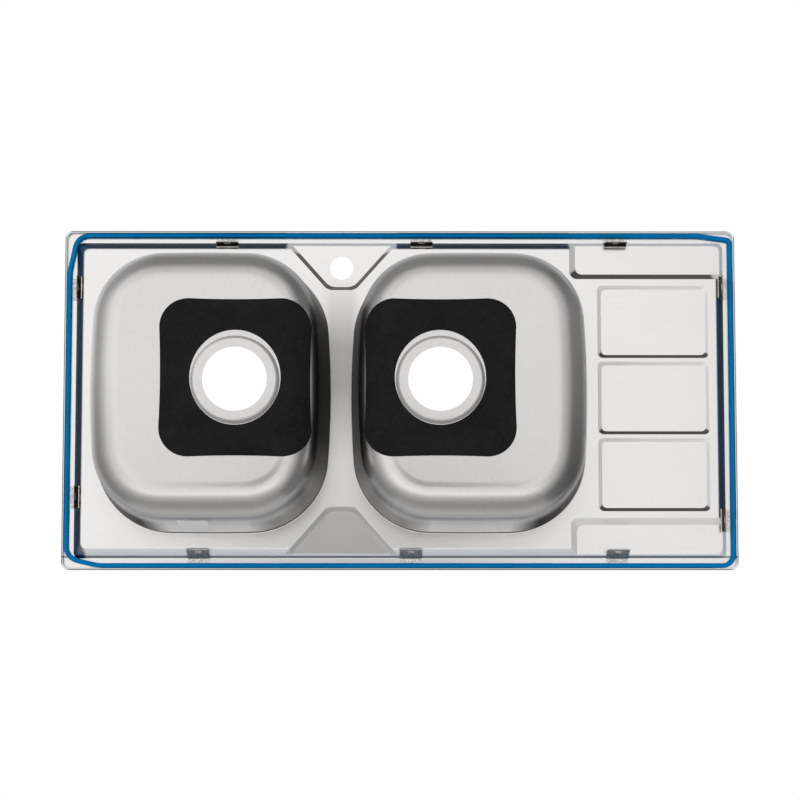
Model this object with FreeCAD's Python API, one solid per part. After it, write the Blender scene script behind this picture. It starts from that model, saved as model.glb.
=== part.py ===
import FreeCAD, Part
import math
import os

# Inset kitchen sink of stainless steel with two bowls and a drainer.
# +X is the user's right, +Y the tap side, +Z up. The origin is the middle of the rim, on the worktop.

# Sheet and rim
sheet = 0.8
rim_height = 6.0
rim_corner_radius = 12.0
rim_edge_radius = 1.6
rim_width = 18.0
hem_width = 2.8
hem_radius = 0.7
bend_radius = 1.2

# Step from the rim down to the deck
deck_drop = 19.5
step_run = 12.8
step_corner_radius = 10.5
step_bend_radius = 2.4

# Tap ledge and its twin at the front, both between the bowls
ledge_drop = 8.0
ledge_wall_run = 6.0
ledge_reach = 92.5
ledge_tip_width = 41.0
ledge_flare_share = 0.885
ledge_corner_radius = 22.0
tap_hole_radius = 17.5
tap_hole_inset = 57.0

# Shelves at the back and front of the drainer; each reaches in past the end of the bowl
shelf_wall_run = 9.0
shelf_reach = 76.0
shelf_overlap = 23.4
shelf_corner_radius = 15.0

# Raised drainer panels
panel_count = 3
panel_length = 165.0
panel_gap = 5.0
panel_rise = 5.0
panel_wall_run = 5.0
panel_corner_radius = 12.0

# Bowls
bowl_length = 345.3
bowl_depth = 401.0
bowl_divider = 33.2
bowl_corner_radius = 112.0
bowl_side_radius = 1350.0
bowl_front_radius = 2600.0
bowl_floor_drop = 170.0
bowl_draft = 16.5
bowl_bottom_radius = 46.0
seam_drop = 3.4

# Room from the rim's edge to the bowls and panels, and between bowl and panels
bowl_end_room = 51.1
bowl_back_room = 53.5
panel_end_room = 42.3
panel_back_room = 85.5
panel_bowl_room = 17.8

# Waste outlets
waste_radius = 45.0
waste_offset = 46.5
recess_floor_radius = 57.5
recess_wall_run = 4.0
recess_drop = 8.0
recess_bend = 2.4

# Sound pads under the bowls
pad_length = 208.0
pad_depth = 219.0
pad_corner_radius = 40.0
pad_side_radius = 1500.0
pad_thickness = 2.0
pad_hole_length = 126.8
pad_hole_depth = 133.2
pad_shift_y = 3.5
glue_gap = 0.2

# Seal under the rim
seal_width = 7.2
seal_gap = 0.3
seal_proud = 1.5
seal_round = 3.0
seal_loose_radius = 25.0
seal_tight_radius = 9.0
seal_easy_radius = 90.0
seal_long_cut = 58.0
seal_short_cut = 12.0
seal_low_cut = 50.0
seal_small_cut = 7.0
seal_round_corner = 20.0

# Clips along the rim: a welded base and a slotted plate on each
clip_width = 32.8
clip_sheet = 1.0
clip_flange_start = 10.7
clip_leg_end = 28.5
clip_gap = 0.15
clip_tooth_pitch = 4.1
clip_tooth_depth = 1.0
clip_plate_inset = 21.0
clip_plate_reach = 25.0
clip_front_lean = 7.5
clip_slot_width = 9.5
clip_slot_height = 6.5
clip_slot_margin = 3.0
clip_corner_radius = 1.5

# Where the clips stand: in from the right end, left of the ledge's middle and in from the left end ...
back_clip_insets = (243.0, 119.0, 179.0)
front_clip_insets = (203.0, 103.0, 179.0)

# ... and in from the back and the front
right_clip_insets = (88.0, 107.0)
left_clip_insets = (86.5, 73.0)

# One overrun serves all cuts, and edges at one level are found within the slack
overrun = 3.0
slack = 0.008

# Plan
drainer_length = panel_bowl_room + panel_length + panel_end_room
rim_length = bowl_end_room + 2 * bowl_length + bowl_divider + drainer_length
rim_depth = bowl_depth + 2 * bowl_back_room
bowl_right_x = rim_length / 2 - bowl_end_room - bowl_length / 2
bowl_left_x = bowl_right_x - bowl_length - bowl_divider
bowls = {
    "right": (bowl_right_x, bowl_right_x - waste_offset),
    "left": (bowl_left_x, bowl_left_x + waste_offset),
}
ledge_centre_x = (bowl_right_x + bowl_left_x) / 2
ledge_tip_y = rim_depth / 2 - ledge_reach
tap_hole_y = rim_depth / 2 - tap_hole_inset
shelf_inner_x = bowl_left_x - bowl_length / 2 + shelf_overlap
shelf_inner_y = rim_depth / 2 - shelf_reach
panel_pitch = (rim_depth - 2 * panel_back_room + panel_gap) / panel_count
panel_depth = panel_pitch - panel_gap
panel_centre_x = -rim_length / 2 + panel_end_room + panel_length / 2

# Levels
rim_top = rim_height
rim_underside = rim_top - sheet
deck_level = rim_top - deck_drop
ledge_level = rim_top - ledge_drop
panel_level = deck_level + panel_rise
seam_level = deck_level - seam_drop
bowl_floor = rim_top - bowl_floor_drop
waste_level = bowl_floor - recess_drop


def vector(x, y, z):
    return FreeCAD.Vector(x, y, z)


def wall_shift(thickness, run, rise):
    """How far a wall of this slope moves sideways when its face moves by the thickness."""
    return thickness * math.hypot(run, rise) / rise


def arc(start, middle, end):
    return Part.Arc(start, middle, end).toShape()


def rounded_polygon(corners, z):
    """A closed wire through (x, y, radius) corners, each rounded by its own radius."""
    count = len(corners)
    starts = []
    edges = []
    for n in range(count):
        x, y, radius = corners[n]
        here = vector(x, y, z)
        before = vector(corners[n - 1][0], corners[n - 1][1], z) - here
        after = vector(corners[(n + 1) % count][0], corners[(n + 1) % count][1], z) - here
        before.normalize()
        after.normalize()
        half = before.getAngle(after) / 2
        reach = radius / math.tan(half)
        bisector = before + after
        bisector.normalize()
        middle = here + bisector * (radius / math.sin(half) - radius)
        starts.append((here + before * reach, middle, here + after * reach))
    for n in range(count):
        start, middle, end = starts[n]
        edges.append(arc(start, middle, end))
        edges.append(Part.LineSegment(end, starts[(n + 1) % count][0]).toShape())
    return Part.Wire(edges)


def rounded_rectangle(low_x, high_x, low_y, high_y, radius, z):
    front = [(low_x, low_y, radius), (high_x, low_y, radius)]
    back = [(high_x, high_y, radius), (low_x, high_y, radius)]
    return rounded_polygon(front + back, z)


def bowed_outline(centre, length, depth, side_radius, front_radius, corner_radius, z):
    """A rounded rectangle whose sides are arcs; a negative side radius bows them inwards."""
    side = vector(length / 2 - side_radius, 0, 0)
    front = vector(0, depth / 2 - front_radius, 0)
    side_reach = abs(side_radius - corner_radius)
    front_reach = abs(front_radius - corner_radius)
    span = front - side
    apart = span.Length
    along = (side_reach**2 - front_reach**2 + apart**2) / (2 * apart)
    across = math.sqrt(side_reach**2 - along**2)
    unit = vector(span.x / apart, span.y / apart, 0)
    normal = vector(-unit.y, unit.x, 0)
    wanted = vector(length / 2 - corner_radius, depth / 2 - corner_radius, 0)
    choices = [side + unit * along + normal * across, side + unit * along - normal * across]
    corner = min(choices, key=lambda point: point.distanceToPoint(wanted))
    from_side = corner - side
    from_side.normalize()
    from_front = corner - front
    from_front.normalize()
    on_side = side + from_side * abs(side_radius)
    on_front = front + from_front * abs(front_radius)
    outward = (on_side - corner) + (on_front - corner)
    outward.normalize()
    on_corner = corner + outward * corner_radius

    def place(point, sign_x, sign_y):
        return vector(centre[0] + point.x * sign_x, centre[1] + point.y * sign_y, z)

    side_middle = vector(length / 2, 0, 0)
    front_middle = vector(0, depth / 2, 0)
    edges = [
        arc(place(on_side, 1, -1), place(side_middle, 1, 1), place(on_side, 1, 1)),
        arc(place(on_side, 1, 1), place(on_corner, 1, 1), place(on_front, 1, 1)),
        arc(place(on_front, 1, 1), place(front_middle, 1, 1), place(on_front, -1, 1)),
        arc(place(on_front, -1, 1), place(on_corner, -1, 1), place(on_side, -1, 1)),
        arc(place(on_side, -1, 1), place(side_middle, -1, 1), place(on_side, -1, -1)),
        arc(place(on_side, -1, -1), place(on_corner, -1, -1), place(on_front, -1, -1)),
        arc(place(on_front, -1, -1), place(front_middle, 1, -1), place(on_front, 1, -1)),
        arc(place(on_front, 1, -1), place(on_corner, 1, -1), place(on_side, 1, -1)),
    ]
    return Part.Wire(edges)


def between(lower, upper):
    """The solid between two wires of the same shape."""
    return Part.makeLoft([lower, upper], True, True)


def column(wire, low, high):
    """The wire's face, moved to the low level and drawn up to the high one."""
    face = Part.Face(wire)
    face.translate(vector(0, 0, low - wire.BoundBox.ZMin))
    return face.extrude(vector(0, 0, high - low))


def level_edges(solid, level, keep=None):
    """The edges that lie flat at a level, or those of them that keep picks."""
    found = []
    for edge in solid.Edges:
        box = edge.BoundBox
        flat = abs(box.ZMin - level) < slack and abs(box.ZMax - level) < slack
        if flat and (keep is None or keep(edge)):
            found.append(edge)
    return found


def rising_edges(solid):
    """The edges that don't lie flat."""
    return [edge for edge in solid.Edges if edge.BoundBox.ZLength > slack]


def lies_on(edge, shapes):
    """True if the edge's middle lies on one of the shapes."""
    middle = Part.Vertex(edge.valueAt((edge.FirstParameter + edge.LastParameter) / 2))
    return min(middle.distToShape(shape)[0] for shape in shapes) < slack


def frustum(low, high):
    """The solid with flat sides between two outlines of as many corners."""
    faces = [Part.Face(Part.makePolygon(low + low[:1])), Part.Face(Part.makePolygon(high + high[:1]))]
    for n in range(len(low)):
        faces.append(Part.Face(Part.makePolygon([low[n - 1], low[n], high[n], high[n - 1], low[n - 1]])))
    return Part.Solid(Part.Shell(faces)).removeSplitter()


def rectangle(low_x, high_x, low_y, high_y, z):
    corners = [(low_x, low_y), (high_x, low_y), (high_x, high_y), (low_x, high_y)]
    return [vector(x, y, z) for x, y in corners]


def pocket(thickness):
    """The hollow inside the rim, down to the deck; thickness 0 is its upper face, sheet its lower one."""
    shift = wall_shift(thickness, step_run, deck_drop)
    floor = deck_level - thickness
    ceiling = rim_top + overrun if thickness == 0 else rim_top

    def outline(z):
        inset = rim_width + step_run * (rim_top - z) / deck_drop - shift
        half_x = rim_length / 2 - inset
        half_y = rim_depth / 2 - inset
        return rectangle(-half_x, half_x, -half_y, half_y, z)

    hollow = frustum(outline(floor), outline(ceiling))
    hollow = hollow.makeFillet(step_corner_radius + thickness, rising_edges(hollow))
    return hollow.makeFillet(step_bend_radius + thickness, level_edges(hollow, floor))


def raised(outline, level, run, corner_radius, thickness):
    """A form raised from the deck on sloping walls, with its upper edge bent."""
    rise = level - deck_level
    top = level - thickness
    foot = deck_level - thickness - overrun
    shift = wall_shift(thickness, run, rise)

    def section(z):
        return outline(run * (z - deck_level) / rise + shift, z)

    solid = frustum(section(foot), section(top))
    solid = solid.makeFillet(corner_radius - thickness, rising_edges(solid))
    return solid.makeFillet(bend_radius + sheet - thickness, level_edges(solid, top))


def ledge(thickness, side):
    """The wedge-shaped ledge between the bowls, at the tap side (1) or the front (-1)."""
    slant = math.hypot(1, ledge_flare_share)
    root = rim_depth / 2 + ledge_corner_radius

    def outline(inset, z):
        tip = ledge_tip_y + inset
        half_tip = ledge_tip_width / 2 + ledge_flare_share * inset - slant * inset
        half_root = half_tip + ledge_flare_share * (root - tip)
        corners = [
            (ledge_centre_x - half_tip, side * tip),
            (ledge_centre_x + half_tip, side * tip),
            (ledge_centre_x + half_root, side * root),
            (ledge_centre_x - half_root, side * root),
        ]
        return [vector(x, y, z) for x, y in corners]

    return raised(outline, ledge_level, ledge_wall_run, ledge_corner_radius, thickness)


def shelf(thickness, side):
    """The shelf in a corner of the drainer, at the back (1) or the front (-1)."""
    end_x = -rim_length / 2
    end_y = rim_depth / 2

    def outline(inset, z):
        return rectangle(end_x, shelf_inner_x - inset, side * end_y, side * (shelf_inner_y + inset), z)

    return raised(outline, ledge_level, shelf_wall_run, shelf_corner_radius, thickness)


def panel(thickness, number):
    """One raised panel of the drainer."""
    middle = (number - (panel_count - 1) / 2) * panel_pitch

    def outline(inset, z):
        half_x = panel_length / 2 - inset
        half_y = panel_depth / 2 - inset
        return rectangle(
            panel_centre_x - half_x, panel_centre_x + half_x, middle - half_y, middle + half_y, z
        )

    return raised(outline, panel_level, panel_wall_run, panel_corner_radius, thickness)


def bowl_outline(centre_x, growth, z):
    """The bowl's inner outline, grown or shrunk in parallel."""
    return bowed_outline(
        (centre_x, 0),
        bowl_length + 2 * growth,
        bowl_depth + 2 * growth,
        bowl_side_radius + growth,
        bowl_front_radius + growth,
        bowl_corner_radius + growth,
        z,
    )


def above_deck(thickness):
    """Everything open above the sheet: thickness 0 follows its upper face, sheet its lower one."""
    forms = [panel(thickness, number) for number in range(panel_count)]
    for side in (1, -1):
        forms.append(ledge(thickness, side))
        forms.append(shelf(thickness, side))
    hollow = pocket(thickness)
    for form in forms:
        hollow = hollow.cut(form)
    foot_edges = level_edges(hollow, deck_level - thickness, lambda edge: lies_on(edge, forms))
    hollow = hollow.makeFillet(bend_radius + thickness, foot_edges)
    for centre_x, _ in bowls.values():
        hollow = hollow.fuse(column(bowl_outline(centre_x, thickness, 0), seam_level, deck_level))
    return hollow


def lid():
    """The flat rim with its hemmed outer edge, still whole over the deck."""
    half_x = rim_length / 2
    half_y = rim_depth / 2
    outer = column(rounded_rectangle(-half_x, half_x, -half_y, half_y, rim_corner_radius, 0), 0, rim_top)
    outer = outer.makeFillet(rim_edge_radius, level_edges(outer, rim_top))
    in_x = half_x - hem_width
    in_y = half_y - hem_width
    inner_radius = rim_corner_radius - hem_width
    inner = column(rounded_rectangle(-in_x, in_x, -in_y, in_y, inner_radius, 0), -overrun, rim_underside)
    shell = outer.cut(inner)
    return shell.makeFillet(hem_radius, level_edges(shell, 0))


def inside_rim(edge):
    """True for an edge where the rim bends down to the step, not one at its hem."""
    middle = edge.CenterOfMass
    from_end = rim_length / 2 - abs(middle.x)
    from_side = rim_depth / 2 - abs(middle.y)
    return min(from_end, from_side) > (rim_width + hem_width) / 2


def opening_edges(solid, growth, level):
    """The edges around the two bowl openings at a level."""
    outlines = [bowl_outline(centre_x, growth, level) for centre_x, _ in bowls.values()]
    return level_edges(solid, level, lambda edge: lies_on(edge, outlines))


def make_deck():
    """The pressed sheet: rim, step, deck, ledges, panels and the turned-down bowl openings."""
    blank = lid().fuse(above_deck(sheet))
    blank = blank.makeFillet(bend_radius, level_edges(blank, rim_underside, inside_rim))
    deck = blank.cut(above_deck(0))
    deck = deck.makeFillet(bend_radius + sheet, level_edges(deck, rim_top, inside_rim))
    deck = deck.makeFillet(bend_radius, opening_edges(deck, sheet, deck_level - sheet))
    deck = deck.makeFillet(bend_radius + sheet, opening_edges(deck, 0, deck_level))
    tap_hole = Part.makeCylinder(
        tap_hole_radius, deck_drop, vector(ledge_centre_x, tap_hole_y, deck_level), vector(0, 0, 1)
    )
    return deck.cut(tap_hole)


def plain_bowl_form(centre_x, growth):
    """The bowl's inside as a solid without its waste recess, grown on all sides but its mouth."""
    floor = bowl_floor - growth
    mouth = bowl_outline(centre_x, growth, seam_level)
    foot = bowl_outline(centre_x, growth - bowl_draft, floor)
    form = between(foot, mouth)
    return form.makeFillet(bowl_bottom_radius + growth, level_edges(form, floor))


def bowl_form(centre_x, waste_x, growth):
    """The bowl's inside with its waste recess."""
    shift = wall_shift(growth, recess_wall_run, recess_drop)
    low = waste_level - growth
    low_radius = recess_floor_radius + shift - recess_wall_run * growth / recess_drop
    high_radius = recess_floor_radius + shift + recess_wall_run
    recess = Part.makeCone(
        low_radius, high_radius, bowl_floor - low, vector(waste_x, 0, low), vector(0, 0, 1)
    )
    form = plain_bowl_form(centre_x, growth).fuse(recess)
    return form.makeFillet(recess_bend + growth, level_edges(form, low))


def make_bowl(centre_x, waste_x):
    outer = bowl_form(centre_x, waste_x, sheet)
    inner = bowl_form(centre_x, waste_x, 0)
    waste = Part.makeCylinder(
        waste_radius, recess_drop, vector(waste_x, 0, waste_level - overrun), vector(0, 0, 1)
    )
    return outer.cut(inner).cut(waste)


def make_pad(centre_x, waste_x):
    """The mat glued under the bowl's floor; it follows the bowl's bottom radius at one side."""
    centre = (waste_x, pad_shift_y)
    bow = -pad_side_radius
    outline = bowed_outline(centre, pad_length, pad_depth, bow, bow, pad_corner_radius, 0)
    near = sheet + glue_gap
    far = near + pad_thickness
    deep = bowl_floor - far - overrun
    block = column(outline, deep, bowl_floor + bowl_bottom_radius)
    middle = vector(waste_x, pad_shift_y, 0)
    long_end = middle + vector(0, pad_hole_depth / 2, 0)
    short_end = middle + vector(pad_hole_length / 2, 0, 0)
    oval = Part.Wire([Part.Ellipse(long_end, short_end, middle).toShape()])
    hole = column(oval, deep, bowl_floor + bowl_bottom_radius)
    layer = plain_bowl_form(centre_x, far).cut(plain_bowl_form(centre_x, near))
    return layer.common(block).cut(hole)


def make_seal():
    """The foam strip under the rim; each corner is turned by hand, so no two are alike."""
    edge_x = rim_length / 2 - hem_width - seal_gap
    edge_y = rim_depth / 2 - hem_width - seal_gap
    corners = [
        (edge_x - seal_short_cut, edge_y, seal_loose_radius),
        (edge_x, edge_y - seal_long_cut, seal_easy_radius),
        (edge_x, -edge_y + seal_short_cut, seal_loose_radius),
        (edge_x - seal_low_cut, -edge_y, seal_easy_radius),
        (-edge_x, -edge_y, seal_round_corner),
        (-edge_x, edge_y - seal_small_cut, seal_tight_radius),
        (-edge_x + seal_low_cut, edge_y, seal_easy_radius),
    ]
    outer = rounded_polygon(corners, 0)
    inner = outer.makeOffset2D(-seal_width)
    strip = Part.Face(outer).cut(Part.Face(inner))
    strip.translate(vector(0, 0, -seal_proud))
    body = strip.extrude(vector(0, 0, rim_underside + seal_proud))
    return body.makeFillet(seal_round, level_edges(body, -seal_proud))


def step_face(inset, z):
    """How far in from the rim's edge the step's lower face is at a level, with an inset outwards."""
    shift = wall_shift(sheet + inset, step_run, deck_drop)
    return rim_width - shift + step_run * (rim_top - z) / deck_drop


def clip_base():
    """The base's flange lies under the rim and its leg on the step; outwards is +Y, the rim's edge at 0."""
    top = rim_underside
    low = top - clip_sheet
    leg_low = rim_top - (clip_leg_end - rim_width) * deck_drop / step_run
    inside = clip_gap
    outside = clip_gap + clip_sheet
    profile = [
        (clip_flange_start, top),
        (step_face(inside, top), top),
        (step_face(inside, leg_low), leg_low),
        (step_face(outside, leg_low), leg_low),
        (step_face(outside, low), low),
        (clip_flange_start, low),
    ]
    points = [vector(-clip_width / 2, -p, z) for p, z in profile]
    face = Part.Face(Part.makePolygon(points + points[:1]))
    base = face.extrude(vector(clip_width, 0, 0))
    teeth = int(clip_width / clip_tooth_pitch)
    first = -(teeth - 1) / 2 * clip_tooth_pitch
    for number in range(teeth):
        middle = first + number * clip_tooth_pitch
        notch = Part.makeCylinder(
            clip_tooth_depth, clip_sheet, vector(middle, -clip_flange_start, low), vector(0, 0, 1)
        )
        base = base.cut(notch)
    return base


def clip_plate(lean):
    """The slotted plate that stands down from the base; lean moves its free end inwards."""
    free = rim_top - clip_plate_reach
    near = clip_plate_inset
    far = clip_plate_inset + clip_sheet
    face_start = step_face(clip_gap + clip_sheet, rim_top)
    slope = deck_drop / step_run
    near_root = rim_top - (near - face_start) * slope
    tilt = lean / (near_root - free)
    far_reach = far - face_start + tilt * near_root
    far_root = (rim_top - far_reach * slope) / (1 - tilt * slope)
    profile = [
        (near, near_root),
        (near + lean, free),
        (far + lean, free),
        (far + tilt * (near_root - far_root), far_root),
    ]
    points = [vector(-clip_width / 2, -p, z) for p, z in profile]
    face = Part.Face(Part.makePolygon(points + points[:1]))
    plate = face.extrude(vector(clip_width, 0, 0))
    corners = []
    for edge in plate.Edges:
        box = edge.BoundBox
        if box.ZMax < free + slack and box.XLength < slack:
            corners.append(edge)
    plate = plate.makeFillet(clip_corner_radius, corners)
    slot = Part.makeBox(
        clip_slot_width,
        far - near + lean + 2 * overrun,
        clip_slot_height,
        vector(-clip_slot_width / 2, -(far + lean + overrun), free + clip_slot_margin),
    )
    return plate.cut(slot)


def at_edge(solid, angle, x, y):
    """Turns a clip's piece to its side of the rim and moves it there."""
    placed = solid.copy()
    placed.rotate(vector(0, 0, 0), vector(0, 0, 1), angle)
    placed.translate(vector(x, y, 0))
    return placed


def clip_places():
    """The name, angle, place and lean of each clip."""
    half_x = rim_length / 2
    half_y = rim_depth / 2
    long_sides = (
        ("back", 0, half_y, back_clip_insets, 0),
        ("front", 180, -half_y, front_clip_insets, clip_front_lean),
    )
    short_sides = (("right", -90, half_x, right_clip_insets), ("left", 90, -half_x, left_clip_insets))
    places = []
    for side, angle, y, (from_right, from_ledge, from_left), lean in long_sides:
        along = (half_x - from_right, ledge_centre_x - from_ledge, from_left - half_x)
        for number, x in enumerate(along, 1):
            places.append((f"{side}_{number}", angle, x, y, lean))
    for side, angle, x, (from_back, from_front) in short_sides:
        for number, y in enumerate((half_y - from_back, from_front - half_y), 1):
            places.append((f"{side}_{number}", angle, x, y, 0))
    return places


def make_parts():
    parts = {"deck": make_deck(), "rim_seal": make_seal()}
    for name, (centre_x, waste_x) in bowls.items():
        parts["bowl_" + name] = make_bowl(centre_x, waste_x)
        parts["sound_pad_" + name] = make_pad(centre_x, waste_x)
    for name, angle, x, y, lean in clip_places():
        parts["clip_base_" + name] = at_edge(clip_base(), angle, x, y)
        parts["clip_plate_" + name] = at_edge(clip_plate(lean), angle, x, y)
    return parts


os.makedirs("parts", exist_ok=True)
for name, solid in make_parts().items():
    box = solid.optimalBoundingBox()
    print(name, solid.isValid(), len(solid.Solids), round(solid.Volume, 1), box)
    solid.exportStep("parts/" + name + ".step")
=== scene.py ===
import math

import bpy
from mathutils import Matrix, Quaternion, Vector, noise
from mathutils.bvhtree import BVHTree


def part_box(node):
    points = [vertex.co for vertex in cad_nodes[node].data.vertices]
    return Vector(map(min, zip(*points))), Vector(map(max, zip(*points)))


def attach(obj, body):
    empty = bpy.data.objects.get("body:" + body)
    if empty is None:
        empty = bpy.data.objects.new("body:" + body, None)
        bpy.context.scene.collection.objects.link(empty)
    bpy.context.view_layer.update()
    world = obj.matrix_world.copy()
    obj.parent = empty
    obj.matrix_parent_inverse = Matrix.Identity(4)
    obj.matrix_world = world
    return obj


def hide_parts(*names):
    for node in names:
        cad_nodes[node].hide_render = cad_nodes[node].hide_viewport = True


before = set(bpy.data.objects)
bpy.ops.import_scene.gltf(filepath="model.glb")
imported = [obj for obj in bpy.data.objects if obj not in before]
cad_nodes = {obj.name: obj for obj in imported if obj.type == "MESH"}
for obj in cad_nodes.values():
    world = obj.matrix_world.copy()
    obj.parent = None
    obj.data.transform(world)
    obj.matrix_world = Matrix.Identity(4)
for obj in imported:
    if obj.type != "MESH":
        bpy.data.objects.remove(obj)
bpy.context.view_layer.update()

# Lengths are in metres. A pair of numbers that isn't explained is the two sides of a zone's soft edge

# Camera: it looks up at the underside from a point in front of the sink's middle
EYE = Vector((0.007, -0.417, -2.494))
SINK_MIDDLE = Vector((0.0, 0.0, 0.006))
FRAME_WIDTH = 1.1914
SENSOR = 36.0
SHIFT_Y = 0.2

# Floor: its colour, how much paler the camera sees it, and the white that the camera sees behind everything
FLOOR_Z = -3.2
FLOOR_SIZE = 80.0
FLOOR_SHADE = 0.60
FLOOR_GLOW = 0.38
BACKDROP = 1.0

# Sky: how far up each stop is, from 0 at the horizon to 1 overhead, and the light there
SKY = ((0.0, 0.30), (0.25, 0.29), (0.45, 0.46), (0.8, 0.75), (0.9, 1.0))

# Lamps on the floor, nested so that their light falls off to all sides.
# Each has its low and high X, its low and high Y and its strength
POOL = (
    (-5.0, 9.0, -6.0, 6.5, 0.14),
    (-3.0, 5.2, -3.4, 4.6, 0.15),
    (-2.2, 3.8, -2.9, 3.4, 0.17),
    (-1.6, 2.8, -2.5, 2.4, 0.19),
    (-1.1, 2.0, -2.1, 1.6, 0.19),
)
POOL_CLEAR = 0.1
POOL_STEP = 0.02

# Soft boxes: name, place, what it is aimed at, the two sides and the strength
LAMPS = (
    ("light_strip", (0.4, -2.3, -2.9), (0.4, -2.3, 0.0), (6.0, 0.8), 0.20),
    ("light_front", (0.0, -5.0, 1.2), (0.0, 0.0, 0.0), (8.0, 3.0), 0.20),
)
WHITE_WATTS = 4.0

# Grey cards that stand on the floor: name, X and Y where it starts, the far upper corner and the shade
FLAGS = (
    ("flag_left", (-5.5, -7.0), (-5.5, 7.5, 3.0), 0.40),
    ("flag_back", (-5.5, 7.5), (9.0, 7.5, 2.0), 0.60),
)

# Dark round card over the lamps
SHADE_MIDDLE = (0.1, -0.35)
SHADE_CLEAR = 0.3
SHADE_RADIUS = 0.45
SHADE_GREY = 0.05
SHADE_SIDES = 48

# Foam strip: the outer line's corners and their radii, the section and how uneven it is
STRIP_CORNERS = (
    (0.4849, 0.2509, 0.025),
    (0.4969, 0.1929, 0.090),
    (0.4969, -0.2389, 0.025),
    (0.4469, -0.2509, 0.090),
    (-0.4969, -0.2509, 0.020),
    (-0.4969, 0.2439, 0.009),
    (-0.4469, 0.2509, 0.090),
)
STRIP_WIDTH = 0.0072
STRIP_TOP = 0.00515
STRIP_LOW = -0.0014
STRIP_ROUND = 0.0030
STRIP_ROUND_STEPS = 6
STRIP_SPACING = 0.003
STRIP_LEAST_BEND = 4
STRIP_LEAST_RUN = 2
STRIP_WAVE = 0.00025
STRIP_WIDTH_WAVES = 35.0
STRIP_DEPTH_WAVES = 50.0
STRIP_DEPTH_SHIFT = Vector((7.0, 0.0, 0.0))

# Sound mats: the oval hole's middle, the cut edge, the mesh's fineness and how uneven the lower face is
MAT_MIDDLES = {"right": (0.22975, 0.0035, 0.0), "left": (-0.05575, 0.0035, 0.0)}
MAT_EDGE = 0.0007
MAT_EDGE_STEPS = 5
MAT_CLEAR = 0.0001
MAT_INSIDE = 0.085
MAT_OUTSIDE = 0.2
MAT_SPOKES = 360
MAT_RINGS = 22
MAT_HALVINGS = 22
MAT_WAVE = 0.00020
MAT_WAVES = 60.0

# Blank paper label on the right bowl's front wall: its ends along X, its levels and its cells along X and Z
LABEL_X = (0.2735, 0.3165)
LABEL_Z = (-0.108, -0.026)
LABEL_CELLS = (24, 40)
LABEL_CORNER = 0.002
LABEL_GAP = 0.00012

# Rays that find a CAD surface: how far above or below the piece they start, and the Y in front of the sink
RAY_ROOM = 0.1
RAY_FRONT_Y = -0.4
DOWN = Vector((0.0, 0.0, -1.0))

# Noise patterns: cycles a metre along X, Y and Z, detail and roughness
ROLLED_STREAKS = ((20.0, 1400.0, 1400.0), 3.0, 0.6)
ROLLED_GRAIN = ((80.0, 2600.0, 2600.0), 2.0, 0.6)
ROLLED_CLOUDS = ((7.0, 7.0, 7.0), 3.0, 0.5)
DRAWN_STREAKS = ((220.0, 220.0, 16.0), 3.0, 0.6)
DRAWN_GRAIN = ((900.0, 1400.0, 120.0), 2.0, 0.6)
DRAWN_CLOUDS = ((8.0, 8.0, 8.0), 3.0, 0.5)
MAT_ACROSS = ((90.0, 1500.0, 90.0), 2.0, 0.5)
MAT_ALONG = ((1500.0, 90.0, 90.0), 2.0, 0.5)
MAT_CLOUDS = ((25.0, 25.0, 25.0), 3.0, 0.6)
FOAM_CELLS = ((900.0, 900.0, 900.0), 3.0, 0.6)
FOAM_CLOUDS = ((18.0, 18.0, 18.0), 2.0, 0.5)
ZINC_SPANGLE = ((350.0, 350.0, 350.0), 2.0, 0.6)
PAPER_FIBRES = ((1400.0, 1400.0, 1400.0), 2.0, 0.6)
PAPER_CLOUDS = ((60.0, 60.0, 60.0), 3.0, 0.6)

# The part of a noise's range that is spread from dark to light
NARROW = (0.35, 0.65)
MIDDLE = (0.3, 0.7)
WIDE = (0.2, 0.8)

# Steel: roughness along the grain, its slow drift and the grain's depth
STEEL_ROUGH = (0.27, 0.31)
STEEL_DRIFT = (-0.01, 0.01)
GRAIN_DEPTH = 0.000002

# Slopes of the steel, by its normal's share along Z: where the underside ends, and then how flat the sheet is
# where a bend, the outer step or a wall begins and where it is full
UNDERSIDE = (-0.1, 0.1)
BEND_SLOPE = (0.985, 0.85)
STEP_SLOPE = (0.92, 0.35)
WALL_SLOPE = (0.80, 0.52)

# Zones of the deck
DIVIDER_X = 0.087
DIVIDER_HALF = (0.014, 0.030)
DIVIDER_Y = 0.045
DIVIDER_REACH = (0.03, 0.14)
MIDLINE_X = (-0.01, 0.01)
END_STEP_X = (0.462, 0.468)
BACK_STEP_Y = (0.216, 0.222)
SHELVES_Y = (0.176, 0.180)
SHELVES_X = (-0.2535, -0.2495)
TAP_LEDGE_HALF = (0.080, 0.084)
DECK_SEAM_Z = (-0.0160, -0.0157)
HEM_X = (0.4982, 0.4988)
HEM_Y = (0.2522, 0.2528)
GROOVE_Y = -0.2345
GROOVE_HALF = (0.0009, 0.0017)
BACKWARD = (0.08, 0.30)

# The sunk front ledge: its two ends along Y, how its half width shrinks to the back, and its edge's softness
LEDGE_Y = (-0.231, -0.1615)
LEDGE_SLANT = -0.885
LEDGE_OFFSET = -0.1224
LEDGE_SOFT = 0.001

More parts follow.
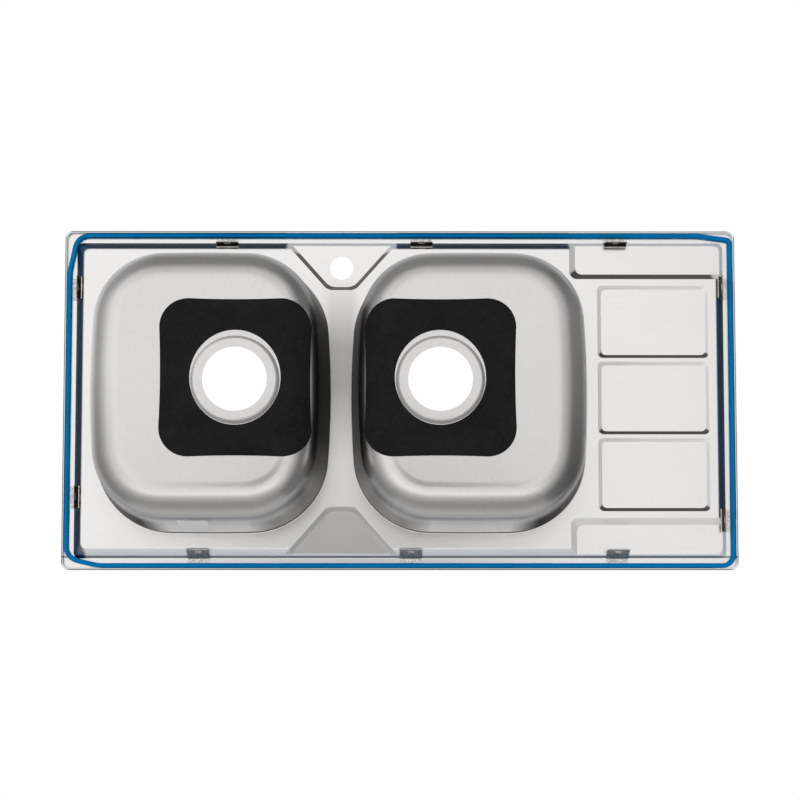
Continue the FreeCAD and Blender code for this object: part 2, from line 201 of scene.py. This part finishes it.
# Zones of the bowls. Names that end in WARD are shares of the normal along X or Y
FACING_HALF = (0.055, 0.080)
FACING_Z = (-0.138, -0.122)
FACING_Y = 0.02
FACING_REACH = (0.09, 0.16)
FACING_LEAST = 0.5
BRIGHT_WARD = (0.05, 0.5)
BRIGHT_X = (0.2, 0.3)
BRIGHT_Y = (-0.12, 0.02)
CORNER_WARD = (0.02, 0.35)
CORNER_Z = (-0.125, -0.070)
CORNER_FROM_DIVIDER = (0.06, 0.2)
CORNER_LEAST = 0.4
FOOT_LOW_Z = (-0.140, -0.122)
FOOT_HIGH_Z = (-0.115, -0.100)
FOOT_WARD = (-0.7, -0.2)
BOWL_SEAM_Z = (-0.0265, -0.0210)
RECESS_Z = (-0.1635, -0.1618)
DRAINER_WARD = (-0.6, -0.1)
DRAINER_X = (-0.24, -0.18)
# Where painted shade and painted light lie on the left bowl's outer wall
SIDE_SHADE_Y = (-0.13, -0.03)
SIDE_LIGHT_Y = (-0.03, 0.08)

# Colours of the steel
ROLLED_TONES = ((0.60, 0.595, 0.585), (0.635, 0.63, 0.62))
DRAWN_TONES = ((0.56, 0.555, 0.547), (0.59, 0.586, 0.578))
# Painted highlight on the bends, and painted shade on the bends that face back
BEND_HIGHLIGHT_TONE = (0.92, 0.915, 0.90)
BACKWARD_SHADE_TONE = (0.08, 0.078, 0.075)
# Painted highlight on the right bowl's outer wall
PAINTED_HIGHLIGHT_TONE = (0.90, 0.895, 0.885)
# Painted light on the left bowl's outer wall, towards its back
DRAINER_SIDE_LIGHT_TONE = (0.74, 0.735, 0.725)
EDGE_PLAIN = (1.0, 1.0, 1.0)
# Specular tint that darkens the reflection, as painted shade
EDGE_DARK = (0.25, 0.25, 0.25)
BEND_METAL = 0.15
RECESS_METAL = 0.1

# Painted shade on the steel, and a darker line on the hem: a colour, and how much of it covers the steel
DIVIDER_SHADE = ((0.05, 0.048, 0.046), 0.54)
LEDGE_SHADE = ((0.05, 0.049, 0.048), 0.34)
DECK_SEAM_SHADE = ((0.05, 0.05, 0.05), 0.65)
HEM_DARKENING = ((0.06, 0.06, 0.06), 0.85)
GROOVE_SHADE = ((0.05, 0.065, 0.08), 0.80)
# Painted shade on the outer step, dark bluish like the shaded foam seen in it
STEP_SHADE = ((0.014, 0.026, 0.038), 0.96)
# Painted shade on the left bowl's outer wall, towards its front
DRAINER_SIDE_SHADE = ((0.05, 0.05, 0.05), 0.50)
RECESS_SHADE = ((0.05, 0.05, 0.05), 0.13)
FOOT_SHADE = ((0.05, 0.05, 0.05), 0.60)
CORNER_SHADE = ((0.02, 0.0195, 0.019), 0.92)
BOWL_SEAM_SHADE = ((0.05, 0.05, 0.05), 0.80)
FACING_SHADE = ((0.014, 0.0135, 0.013), 0.97)

# Mats: the weave's colours, its range and how much the clouds change it
MAT_TONES = ((0.0045, 0.0045, 0.0045), (0.0140, 0.0140, 0.0145))
MAT_WEAVE = (0.7, 1.3)
MAT_DRIFT = (0.8, 1.2)
MAT_ROUGH = 0.85
MAT_GLOSS = 0.15
MAT_RELIEF = 0.0003

# Foam: its colours, and the painted shade along the back
FOAM_TONES = ((0.0, 0.165, 0.42), (0.0, 0.19, 0.48))
FOAM_BACK_SHADE_TONE = (0.0, 0.010, 0.028)
FOAM_BACK_SHADE_SHARE = 0.12
FOAM_BACK_Y = (0.215, 0.235)
FOAM_ROUGH = 0.8
FOAM_GLOSS = 0.05
FOAM_RELIEF = 0.0001

# Zinc: name, dark and light colour, least roughness, and the first letters of the nodes that get it
ZINCS = (
    ("galvanised", (0.34, 0.33, 0.315), (0.70, 0.69, 0.67), 0.30, ("clip_base_",)),
    ("clip_steel", (0.07, 0.066, 0.06), (0.17, 0.16, 0.15), 0.34, ("clip_plate_",)),
    # The front and left clip plates get a paler copy of clip_steel, as painted light
    (
        "clip_steel_painted_lit",
        (0.30, 0.29, 0.275),
        (0.56, 0.54, 0.52),
        0.34,
        ("clip_plate_front_", "clip_plate_left_"),
    ),
)
ZINC_ROUGHER = 0.15
KNURL_CELLS = 900.0
KNURL_RELIEF = 0.0002

# Label paper
PAPER_TONES = ((0.84, 0.84, 0.84), (0.90, 0.90, 0.895))
PAPER_ROUGH = 0.55
PAPER_RELIEF = 0.00002


class Material:
    """A node material with the few kinds of node that the pieces here share."""

    def __init__(self, name):
        self.data = bpy.data.materials.new(name)
        self.data.use_nodes = True
        self.nodes = self.data.node_tree.nodes
        self.links = self.data.node_tree.links
        self.shader = self.nodes["Principled BSDF"]
        outputs = self.nodes.new("ShaderNodeTexCoord").outputs
        self.place = outputs["Object"]
        self.normal = outputs["Normal"]

    def put(self, name, value):
        self.shader.inputs[name].default_value = value

    def drive(self, name, value):
        self.links.new(value, self.shader.inputs[name])

    def stretched(self, scale):
        """The object's coordinates in metres, times a scale for each axis."""
        mapping = self.nodes.new("ShaderNodeMapping")
        mapping.inputs["Scale"].default_value = scale
        self.links.new(self.place, mapping.inputs["Vector"])
        return mapping.outputs["Vector"]

    def noise(self, scale, detail, rough):
        """Noise of so many cycles a metre along each axis."""
        texture = self.nodes.new("ShaderNodeTexNoise")
        texture.inputs["Scale"].default_value = 1.0
        texture.inputs["Detail"].default_value = detail
        texture.inputs["Roughness"].default_value = rough
        self.links.new(self.stretched(scale), texture.inputs["Vector"])
        return texture.outputs["Fac"]

    def spread(self, value, low, high, start=0.0, end=1.0):
        """Runs from low to high while the value runs from start to end, and stays level outside them."""
        span = self.nodes.new("ShaderNodeMapRange")
        span.inputs["From Min"].default_value = start
        span.inputs["From Max"].default_value = end
        span.inputs["To Min"].default_value = low
        span.inputs["To Max"].default_value = high
        self.links.new(value, span.inputs["Value"])
        return span.outputs["Result"]

    def grow(self, value, limits):
        """0 before the limits and 1 after them."""
        return self.spread(value, 0.0, 1.0, *limits)

    def fade(self, value, limits):
        """1 before the limits and 0 after them."""
        return self.spread(value, 1.0, 0.0, *limits)

    def axes(self, vector):
        """The vector's three shares."""
        split = self.nodes.new("ShaderNodeSeparateXYZ")
        self.links.new(vector, split.inputs["Vector"])
        return split.outputs[:3]

    def math(self, operation, *values):
        node = self.nodes.new("ShaderNodeMath")
        node.operation = operation
        for socket, value in zip(node.inputs, values):
            if isinstance(value, (int, float)):
                socket.default_value = value
            else:
                self.links.new(value, socket)
        return node.outputs[0]

    def product(self, *values):
        result = values[0]
        for value in values[1:]:
            result = self.math("MULTIPLY", result, value)
        return result

    def from_middle(self, value, middle):
        return self.math("ABSOLUTE", self.math("SUBTRACT", value, middle))

    def blend(self, factor, first, second):
        """A mix of two colours."""
        node = self.nodes.new("ShaderNodeMix")
        node.data_type = "RGBA"
        self.links.new(factor, node.inputs["Factor"])
        for socket, value in zip([s for s in node.inputs if s.type == "RGBA"], (first, second)):
            if isinstance(value, tuple):
                socket.default_value = (*value, 1.0)
            else:
                self.links.new(value, socket)
        return next(s for s in node.outputs if s.type == "RGBA")

    def mottled(self, value, limits, tones):
        """The first tone below the limits, the second above them."""
        return self.blend(self.grow(value, limits), *tones)

    def darkened(self, tone, zone, darkening):
        """The tone, covered in the zone by the darkening's share of its colour; it lays painted shade, and
        the hem's darker line.
        """
        colour, share = darkening
        return self.blend(self.product(zone, share), tone, colour)

    def bump(self, height, depth):
        """Raises the surface by the height times the depth in metres."""
        node = self.nodes.new("ShaderNodeBump")
        node.inputs["Distance"].default_value = depth
        node.inputs["Strength"].default_value = 1.0
        self.links.new(height, node.inputs["Height"])
        self.links.new(node.outputs["Normal"], self.shader.inputs["Normal"])


class Steel(Material):
    """Sheet steel whose tones, painted light and painted shade among them, are laid by their place on the
    sink and by the slope of the sheet.
    """

    def __init__(self, name):
        super().__init__(name)
        self.x, self.y, self.z = self.axes(self.place)
        self.n_x, self.n_y, self.n_z = self.axes(self.normal)
        self.from_divider = self.from_middle(self.x, DIVIDER_X)

    def underside(self):
        return self.fade(self.n_z, UNDERSIDE)

    def steep(self, slope):
        """0 where the underside is as flat as the slope's first share and 1 where it has the second."""
        return self.product(self.underside(), self.grow(self.from_middle(self.n_z, 0.0), slope))

    def finish(self, grain, clouds):
        """Roughness that follows the grain and drifts slowly, and the grain's own relief."""
        lines = self.noise(*grain)
        along = self.spread(lines, *STEEL_ROUGH, *WIDE)
        drift = self.spread(self.noise(*clouds), *STEEL_DRIFT, *MIDDLE)
        self.drive("Roughness", self.math("ADD", along, drift))
        self.bump(lines, GRAIN_DEPTH)


def about(place):
    """The soft edge of the front ledge, on both sides of a place."""
    return place - LEDGE_SOFT, place + LEDGE_SOFT


def step_shade_zone(m, end, back):
    """Where the steep outer step gets painted shade: at the bowls' end, between the drainer's shelves and
    beside the tap ledge.
    """
    between_shelves = m.fade(m.from_middle(m.y, 0.0), SHELVES_Y)
    end_step_shade = m.product(end, m.math("MAXIMUM", m.grow(m.x, MIDLINE_X), between_shelves))
    back_step_shade = m.product(back, m.grow(m.from_divider, TAP_LEDGE_HALF), m.grow(m.x, SHELVES_X))
    return m.math("MAXIMUM", end_step_shade, back_step_shade)


def divider_zone(m):
    along = m.fade(m.from_middle(m.y, DIVIDER_Y), DIVIDER_REACH)
    return m.product(m.fade(m.from_divider, DIVIDER_HALF), along)


def ledge_zone(m):
    """The sunk front ledge, which widens to the front."""
    half_width = m.math("MULTIPLY_ADD", m.y, LEDGE_SLANT, LEDGE_OFFSET)
    inside = m.fade(m.math("SUBTRACT", m.from_divider, half_width), about(0.0))
    return m.product(inside, m.fade(m.y, about(LEDGE_Y[1])), m.grow(m.y, about(LEDGE_Y[0])))


def hem_zone(m):
    ends = m.grow(m.from_middle(m.x, 0.0), HEM_X)
    return m.math("MAXIMUM", ends, m.grow(m.from_middle(m.y, 0.0), HEM_Y))


def rolled_steel():
    """Sheet with its grain along X; pale and matt at the bends as a painted highlight, with painted shade on
    the bends that face back, and dark painted shade at the outer step.
    """
    m = Steel("rolled_steel")
    end = m.grow(m.from_middle(m.x, 0.0), END_STEP_X)
    back = m.grow(m.y, BACK_STEP_Y)
    step_shade = step_shade_zone(m, end, back)
    painted_bends = m.product(m.steep(BEND_SLOPE), m.math("SUBTRACT", 1.0, step_shade))
    inner = m.math("SUBTRACT", 1.0, m.math("MAXIMUM", end, back))
    backward = m.product(m.grow(m.n_y, BACKWARD), inner)
    tone = m.mottled(m.noise(*ROLLED_STREAKS), MIDDLE, ROLLED_TONES)
    # Painted highlight: the bends are nearly white; painted shade: those that face back, inside the outer
    # step, are nearly black
    tone = m.blend(painted_bends, tone, m.blend(backward, BEND_HIGHLIGHT_TONE, BACKWARD_SHADE_TONE))
    darkenings = (
        # Painted shade on the deck between the bowls
        (divider_zone(m), DIVIDER_SHADE),
        # Painted shade on the sunk front ledge
        (ledge_zone(m), LEDGE_SHADE),
        # Painted shade along the deck's low edge at the seam with the bowls
        (m.fade(m.z, DECK_SEAM_Z), DECK_SEAM_SHADE),
        # Darker along the hem's outer edge
        (hem_zone(m), HEM_DARKENING),
        # Painted shade: a dark bluish line along the front step
        (m.fade(m.from_middle(m.y, GROOVE_Y), GROOVE_HALF), GROOVE_SHADE),
    )
    for zone, darkening in darkenings:
        tone = m.darkened(tone, m.product(zone, m.underside()), darkening)
    # Painted shade: the steep outer step is darkened to a dark bluish grey
    m.drive("Base Color", m.darkened(tone, m.product(m.steep(STEP_SLOPE), step_shade), STEP_SHADE))
    # The bends are less metallic, so that their painted highlight shows
    m.drive("Metallic", m.spread(painted_bends, 1.0, BEND_METAL))
    m.finish(ROLLED_GRAIN, ROLLED_CLOUDS)
    return m.data


def facing_walls(m, wall):
    """The walls that face each other across the divider, down to the bottom radius."""
    near = m.fade(m.from_divider, FACING_HALF)
    ends = m.spread(m.from_middle(m.y, FACING_Y), 1.0, FACING_LEAST, *FACING_REACH)
    return m.product(wall, near, m.grow(m.z, FACING_Z), ends)


def front_corners(m, wall):
    """The front corners' walls, more so the farther they are from the divider."""
    turned = m.grow(m.product(m.from_middle(m.n_x, 0.0), m.n_y, -1.0), CORNER_WARD)
    outer = m.spread(m.from_divider, CORNER_LEAST, 1.0, *CORNER_FROM_DIVIDER)
    return m.product(wall, turned, m.grow(m.z, CORNER_Z), outer)


def highlight_side(m):
    """The right bowl's outer wall, towards its back, where a highlight is painted."""
    outer = m.product(m.grow(m.n_x, BRIGHT_WARD), m.grow(m.x, BRIGHT_X))
    return m.product(outer, m.grow(m.y, BRIGHT_Y), m.underside())


def wall_foot(m, wall):
    """The band where the front walls turn into the bottom radius."""
    band = m.product(m.grow(m.z, FOOT_LOW_Z), m.fade(m.z, FOOT_HIGH_Z))
    return m.product(band, wall, m.fade(m.n_y, FOOT_WARD))


def drawn_steel():
    """The bowls' steel, its grain pulled up the walls; painted shade between the bowls, at the front corners
    and on other walls, and painted light on some walls.
    """
    m = Steel("drawn_steel")
    wall = m.steep(WALL_SLOPE)
    facing = facing_walls(m, wall)
    corners = front_corners(m, wall)
    seam = m.product(m.grow(m.z, BOWL_SEAM_Z), m.underside())
    recess = m.fade(m.z, RECESS_Z)
    drainer_side = m.product(m.fade(m.n_x, DRAINER_WARD), m.fade(m.x, DRAINER_X), m.underside())
    tone = m.mottled(m.noise(*DRAWN_STREAKS), MIDDLE, DRAWN_TONES)
    # Painted highlight on the right bowl's outer wall
    tone = m.blend(highlight_side(m), tone, PAINTED_HIGHLIGHT_TONE)
    # Painted shade towards the front of the left bowl's outer wall, and painted light towards its back
    tone = m.darkened(tone, m.product(drainer_side, m.fade(m.y, SIDE_SHADE_Y)), DRAINER_SIDE_SHADE)
    tone = m.blend(m.product(drainer_side, m.grow(m.y, SIDE_LIGHT_Y)), tone, DRAINER_SIDE_LIGHT_TONE)
    darkenings = (
        # Painted shade in the waste recess
        (recess, RECESS_SHADE),
        # Painted shade where the front walls turn into the bottom radius
        (wall_foot(m, wall), FOOT_SHADE),
        # Painted shade on the bowls' front corners
        (corners, CORNER_SHADE),
        # Painted shade along the bowls' top, at the seam with the deck
        (seam, BOWL_SEAM_SHADE),
        # Painted shade on the walls that face each other across the divider
        (facing, FACING_SHADE),
    )
    for zone, darkening in darkenings:
        tone = m.darkened(tone, zone, darkening)
    m.drive("Base Color", tone)
    # Painted shade in the reflection: the specular tint is darkened on the facing walls, at the front corners
    # and at the seam
    dark = m.math("MAXIMUM", m.math("MAXIMUM", facing, corners), seam)
    m.drive("Specular Tint", m.blend(dark, EDGE_PLAIN, EDGE_DARK))
    m.drive("Metallic", m.spread(m.product(recess, m.steep(BEND_SLOPE)), 1.0, RECESS_METAL))
    m.finish(DRAWN_GRAIN, DRAWN_CLOUDS)
    return m.data


def felted_mat():
    """Black mat of pressed fibres with a fine square weave."""
    m = Material("felted_mat")
    threads = m.math("ADD", m.noise(*MAT_ACROSS), m.noise(*MAT_ALONG))
    weave = m.math("MULTIPLY", threads, m.spread(m.noise(*MAT_CLOUDS), *MAT_DRIFT, *MIDDLE))
    m.drive("Base Color", m.mottled(weave, MAT_WEAVE, MAT_TONES))
    m.put("Roughness", MAT_ROUGH)
    m.put("Specular IOR Level", MAT_GLOSS)
    m.bump(weave, MAT_RELIEF)
    return m.data


def foam():
    """Blue closed-cell foam with a smooth skin, with painted shade along the back."""
    m = Material("foam")
    # Painted shade along the back of the strip
    back = m.spread(m.axes(m.place)[1], 0.0, FOAM_BACK_SHADE_SHARE, *FOAM_BACK_Y)
    tone = m.mottled(m.noise(*FOAM_CLOUDS), MIDDLE, FOAM_TONES)
    m.drive("Base Color", m.blend(back, tone, FOAM_BACK_SHADE_TONE))
    m.put("Roughness", FOAM_ROUGH)
    m.put("Specular IOR Level", FOAM_GLOSS)
    m.bump(m.noise(*FOAM_CELLS), FOAM_RELIEF)
    return m.data


def zinc(name, dark, light, rough):
    """Galvanised strip steel with a fine knurl."""
    m = Material(name)
    m.put("Metallic", 1.0)
    knurl = m.nodes.new("ShaderNodeTexVoronoi")
    knurl.inputs["Scale"].default_value = KNURL_CELLS
    m.links.new(m.place, knurl.inputs["Vector"])
    spangle = m.noise(*ZINC_SPANGLE)
    m.drive("Base Color", m.mottled(spangle, NARROW, (dark, light)))
    m.drive("Roughness", m.spread(spangle, rough, rough + ZINC_ROUGHER, *MIDDLE))
    m.bump(knurl.outputs["Distance"], KNURL_RELIEF)
    return m.data


def matt_grey(name, shade):
    m = Material(name)
    m.put("Base Color", (shade, shade, shade, 1.0))
    m.put("Roughness", 1.0)
    m.put("Specular IOR Level", 0.0)
    return m


def floor_material():
    """Matt grey that looks paler to the camera than it is to the steel."""
    m = matt_grey("floor", FLOOR_SHADE)
    m.put("Emission Color", (1.0, 1.0, 1.0, 1.0))
    seen = m.nodes.new("ShaderNodeLightPath").outputs["Is Camera Ray"]
    m.drive("Emission Strength", m.spread(seen, 0.0, FLOOR_GLOW))
    return m.data


def paper():
    """Coated label paper, a little soiled."""
    m = Material("paper")
    m.drive("Base Color", m.mottled(m.noise(*PAPER_CLOUDS), NARROW, PAPER_TONES))
    m.put("Roughness", PAPER_ROUGH)
    m.bump(m.noise(*PAPER_FIBRES), PAPER_RELIEF)
    return m.data


def linked(name, points, faces, material):
    """A mesh object of one material, in the scene."""
    mesh = bpy.data.meshes.new(name)
    mesh.from_pydata(points, [], faces)
    mesh.materials.append(material)
    piece = bpy.data.objects.new(name, mesh)
    bpy.context.scene.collection.objects.link(piece)
    return piece


def shown(name, points, faces, material):
    """A smooth piece of its own that rides on the sink."""
    piece = linked(name, points, faces, material)
    for face in piece.data.polygons:
        face.use_smooth = True
    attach(piece, "root")
    return piece


def ring_faces(count, size):
    """The quads that join count loops of so many points, and the last loop to the first."""
    faces = []
    for n in range(count):
        here = n * size
        there = (n + 1) % count * size
        for k in range(size):
            step = (k + 1) % size
            faces.append((here + k, there + k, there + step, here + step))
    return faces


def wave(place):
    """Slow noise from 0 to 1."""
    return 0.5 + 0.5 * noise.noise(place)


def strip_line():
    """Places along the foam strip's outer line and the way out from each."""
    corners = [(Vector((x, y, 0.0)), radius) for x, y, radius in STRIP_CORNERS]
    bends = []
    for n, (here, radius) in enumerate(corners):
        before = (corners[n - 1][0] - here).normalized()
        after = (corners[(n + 1) % len(corners)][0] - here).normalized()
        half = before.angle(after) / 2
        reach = radius / math.tan(half)
        middle = here + (before + after).normalized() * radius / math.sin(half)
        bends.append((here + before * reach, middle, here + after * reach))
    line = []
    for n, (start, middle, end) in enumerate(bends):
        first = start - middle
        turn = first.angle(end - middle)
        steps = max(STRIP_LEAST_BEND, round(turn * first.length / STRIP_SPACING))
        for k in range(steps):
            out = first.copy()
            out.rotate(Quaternion(DOWN, turn * k / steps))
            line.append((middle + out, out.normalized()))
        target = bends[(n + 1) % len(bends)][0]
        out = (end - middle).normalized()
        steps = max(STRIP_LEAST_RUN, round((target - end).length / STRIP_SPACING))
        for k in range(steps):
            line.append((end.lerp(target, k / steps), out))
    return line


def strip_section():
    """The strip's section as (distance in from the outer line, height), round from the outer top."""
    low = STRIP_LOW + STRIP_ROUND
    points = [(0.0, STRIP_TOP), (0.0, (STRIP_TOP + low) / 2)]
    for start, middle in ((180.0, STRIP_ROUND), (270.0, STRIP_WIDTH - STRIP_ROUND)):
        for k in range(STRIP_ROUND_STEPS + 1):
            angle = math.radians(start + 90.0 * k / STRIP_ROUND_STEPS)
            points.append((middle + STRIP_ROUND * math.cos(angle), low + STRIP_ROUND * math.sin(angle)))
    points.append((STRIP_WIDTH, (STRIP_TOP + low) / 2))
    points.append((STRIP_WIDTH, STRIP_TOP))
    return points


def make_strip(material):
    """The foam strip: softly uneven in width and height, as a strip laid by hand is."""
    section = strip_section()
    points = []
    for place, out in strip_line():
        thin = STRIP_WAVE * wave(place * STRIP_WIDTH_WAVES)
        low = STRIP_WAVE * wave(place * STRIP_DEPTH_WAVES + STRIP_DEPTH_SHIFT)
        for inset, height in section:
            share = (inset / STRIP_WIDTH - 0.5) * 2.0
            drop = max(0.0, 1.0 - (height - STRIP_LOW) / STRIP_ROUND)
            point = place - out * (inset - thin * share)
            points.append((point.x, point.y, height + low * drop))
    strip = shown("foam_strip", points, ring_faces(len(points) // len(section), len(section)), material)
    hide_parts("rim_seal")


def tree_of(node):
    """A CAD node's mesh for rays, in the row frame."""
    places = [node.matrix_world @ vertex.co for vertex in node.data.vertices]
    return BVHTree.FromPolygons(places, [tuple(face.vertices) for face in node.data.polygons])


def level_at(tree, place, start, way):
    """The height at which an upright ray through the place first meets the tree, or None."""
    hit = tree.ray_cast(Vector((place.x, place.y, start)), way)[0]
    return None if hit is None else hit.z


def make_mat(side, material):
    """The mat glued under a bowl; it fills its CAD solid but for soft cut edges and a slight unevenness."""
    tree = tree_of(cad_nodes["sound_pad_" + side])
    low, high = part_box("sound_pad_" + side)
    under = low[2] - RAY_ROOM
    over = high[2] + RAY_ROOM
    centre = Vector(MAT_MIDDLES[side])

    def edge_between(out, inside, outside):
        """Where the mat's solid ends between a distance inside it and one outside it."""
        for _ in range(MAT_HALVINGS):
            middle = (inside + outside) / 2
            if level_at(tree, centre + out * middle, under, -DOWN) is None:
                outside = middle
            else:
                inside = middle
        return inside

    spokes = []
    for k in range(MAT_SPOKES):
        angle = 2 * math.pi * k / MAT_SPOKES
        out = Vector((math.cos(angle), math.sin(angle), 0.0))
        hole = edge_between(out, MAT_INSIDE, 0.0) + MAT_CLEAR
        edge = edge_between(out, MAT_INSIDE, MAT_OUTSIDE) - MAT_CLEAR
        spokes.append((out, hole, edge))

    turns = [math.radians(90.0 * k / MAT_EDGE_STEPS) for k in range(MAT_EDGE_STEPS + 1)]
    rounds = [MAT_EDGE * (1 - math.cos(turn)) for turn in turns]
    loops = []
    for inset in rounds:
        loops.append([hole + inset for _, hole, _ in spokes])
    for n in range(1, MAT_RINGS):
        share = n / MAT_RINGS
        loops.append([hole + MAT_EDGE + share * (edge - hole - 2 * MAT_EDGE) for _, hole, edge in spokes])
    for inset in reversed(rounds):
        loops.append([edge - inset for _, _, edge in spokes])

    points = []
    for n, loop in enumerate(loops):
        nearest_end = min(n, len(loops) - 1 - n)
        inset = rounds[nearest_end] if nearest_end < len(rounds) else MAT_EDGE
        rise = MAT_EDGE - math.sqrt(MAT_EDGE**2 - (MAT_EDGE - inset) ** 2)
        for (out, _, _), radius in zip(spokes, loop):
            place = centre + out * radius
            uneven = MAT_WAVE * wave(place * MAT_WAVES)
            points.append((place.x, place.y, level_at(tree, place, under, -DOWN) + uneven + rise))
    tops = [loops[-1], *reversed(loops[len(rounds):-len(rounds)]), loops[0]]
    for loop in tops:
        for (out, _, _), radius in zip(spokes, loop):
            place = centre + out * radius
            points.append((place.x, place.y, level_at(tree, place, over, DOWN) - MAT_CLEAR))
    mat = shown("sound_mat_" + side, points, ring_faces(len(loops) + len(tops), MAT_SPOKES), material)
    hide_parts("sound_pad_" + side)


def make_label(material):
    """A blank label on the wall, with its corners rounded."""
    tree = tree_of(cad_nodes["bowl_right"])
    across, along = LABEL_CELLS
    points = []
    for n in range(along + 1):
        z = LABEL_Z[0] + (LABEL_Z[1] - LABEL_Z[0]) * n / along
        near_end = min(z - LABEL_Z[0], LABEL_Z[1] - z)
        pull = LABEL_CORNER - near_end
        inset = LABEL_CORNER - math.sqrt(max(0.0, LABEL_CORNER**2 - pull**2)) if pull > 0 else 0.0
        for k in range(across + 1):
            x = LABEL_X[0] + inset + (LABEL_X[1] - LABEL_X[0] - 2 * inset) * k / across
            hit, normal, _, _ = tree.ray_cast(Vector((x, RAY_FRONT_Y, z)), Vector((0.0, 1.0, 0.0)))
            if normal.y > 0:
                normal = -normal
            points.append(tuple(hit + normal * LABEL_GAP))
    size = across + 1
    faces = []
    for n in range(along):
        for k in range(across):
            start = n * size + k
            faces.append((start, start + 1, start + size + 1, start + size))
    shown("blank_label", points, faces, material)


def dress(material, *starts):
    """Gives the material to every CAD node whose name begins with one of the starts."""
    for name, node in cad_nodes.items():
        if name.startswith(starts):
            node.data.materials.clear()
            node.data.materials.append(material)


def make_camera():
    """The photograph's view; what its shift doesn't bring to the middle of the frame, a small tilt does."""
    data = bpy.data.cameras.new("camera")
    camera = bpy.data.objects.new("camera", data)
    bpy.context.scene.collection.objects.link(camera)
    towards = SINK_MIDDLE - EYE
    off_axis = math.asin(SHIFT_Y * FRAME_WIDTH / towards.length)
    right = towards.cross(Vector((0.0, 1.0, 0.0))).normalized()
    axis = (Quaternion(right, -off_axis) @ towards).normalized()
    up = right.cross(axis)
    data.sensor_width = SENSOR
    data.lens = SENSOR * towards.dot(axis) / FRAME_WIDTH
    data.shift_y = SHIFT_Y
    camera.matrix_world = Matrix.Translation(EYE) @ Matrix((right, up, -axis)).transposed().to_4x4()
    bpy.context.scene.camera = camera


def make_floor():
    half = FLOOR_SIZE / 2
    corners = [(-half, -half, FLOOR_Z), (half, -half, FLOOR_Z), (half, half, FLOOR_Z), (-half, half, FLOOR_Z)]
    floor = linked("floor", corners, [(0, 1, 2, 3)], floor_material())


def make_flag(name, low, high, shade):
    """A grey card that stands on the floor between two points and shows only in the steel."""
    corners = [(*low, FLOOR_Z), (*high[:2], FLOOR_Z), high, (*low, high[2])]
    flag = linked(name, corners, [(0, 1, 2, 3)], matt_grey(name, shade).data)
    flag.visible_camera = False


def make_shade():
    """A dark round card that lies over the lamps, where a photographer would stand."""
    rim = []
    for k in range(SHADE_SIDES):
        angle = 2 * math.pi * k / SHADE_SIDES
        x = SHADE_MIDDLE[0] + SHADE_RADIUS * math.cos(angle)
        y = SHADE_MIDDLE[1] + SHADE_RADIUS * math.sin(angle)
        rim.append((x, y, FLOOR_Z + SHADE_CLEAR))
    material = matt_grey("shade_below", SHADE_GREY).data
    card = linked("shade_below", rim, [tuple(range(SHADE_SIDES))], material)
    card.visible_camera = False


def make_world():
    """Soft light all round, brightest overhead and dimmer at the horizon."""
    world = bpy.data.worlds.new("studio")
    bpy.context.scene.world = world
    world.use_nodes = True
    nodes = world.node_tree.nodes
    links = world.node_tree.links
    direction = nodes.new("ShaderNodeTexCoord")
    split = nodes.new("ShaderNodeSeparateXYZ")
    links.new(direction.outputs["Generated"], split.inputs["Vector"])
    ramp = nodes.new("ShaderNodeValToRGB")
    stops = ramp.color_ramp.elements
    for number, (height, strength) in enumerate(SKY):
        stop = stops[number] if number < len(stops) else stops.new(height)
        stop.position = height
        stop.color = (strength, strength, strength, 1.0)
    links.new(split.outputs["Z"], ramp.inputs["Fac"])
    seen = nodes.new("ShaderNodeMix")
    seen.data_type = "RGBA"
    links.new(nodes.new("ShaderNodeLightPath").outputs["Is Camera Ray"], seen.inputs["Factor"])
    sky, backdrop = (socket for socket in seen.inputs if socket.type == "RGBA")
    links.new(ramp.outputs["Color"], sky)
    backdrop.default_value = (BACKDROP, BACKDROP, BACKDROP, 1.0)
    links.new(next(s for s in seen.outputs if s.type == "RGBA"), nodes["Background"].inputs["Color"])


def area_light(name, centre, aim, size, strength):
    """A soft box that shines evenly; at a strength of 1 it is as bright as white."""
    data = bpy.data.lights.new(name, "AREA")
    data.shape = "RECTANGLE"
    data.size, data.size_y = size
    data.energy = WHITE_WATTS * strength * size[0] * size[1]
    light = bpy.data.objects.new(name, data)
    bpy.context.scene.collection.objects.link(light)
    light.location = centre
    light.rotation_mode = "QUATERNION"
    light.rotation_quaternion = (Vector(aim) - Vector(centre)).to_track_quat("-Z", "Y")
    light.visible_camera = False


def make_pool():
    for number, (low_x, high_x, low_y, high_y, strength) in enumerate(POOL):
        middle = ((low_x + high_x) / 2, (low_y + high_y) / 2)
        size = (high_x - low_x, high_y - low_y)
        height = FLOOR_Z + POOL_CLEAR + POOL_STEP * number
        area_light(f"pool_{number}", (*middle, height), (*middle, 0.0), size, strength)


make_camera()
make_floor()
for flag in FLAGS:
    make_flag(*flag)
make_shade()
make_world()
make_pool()
for lamp in LAMPS:
    area_light(*lamp)

dress(rolled_steel(), "deck")
dress(drawn_steel(), "bowl_")
make_strip(foam())
mat_material = felted_mat()
for side in MAT_MIDDLES:
    make_mat(side, mat_material)
make_label(paper())
for name, dark, light, rough, starts in ZINCS:
    dress(zinc(name, dark, light, rough), *starts)

bpy.context.scene.view_settings.view_transform = "Standard"
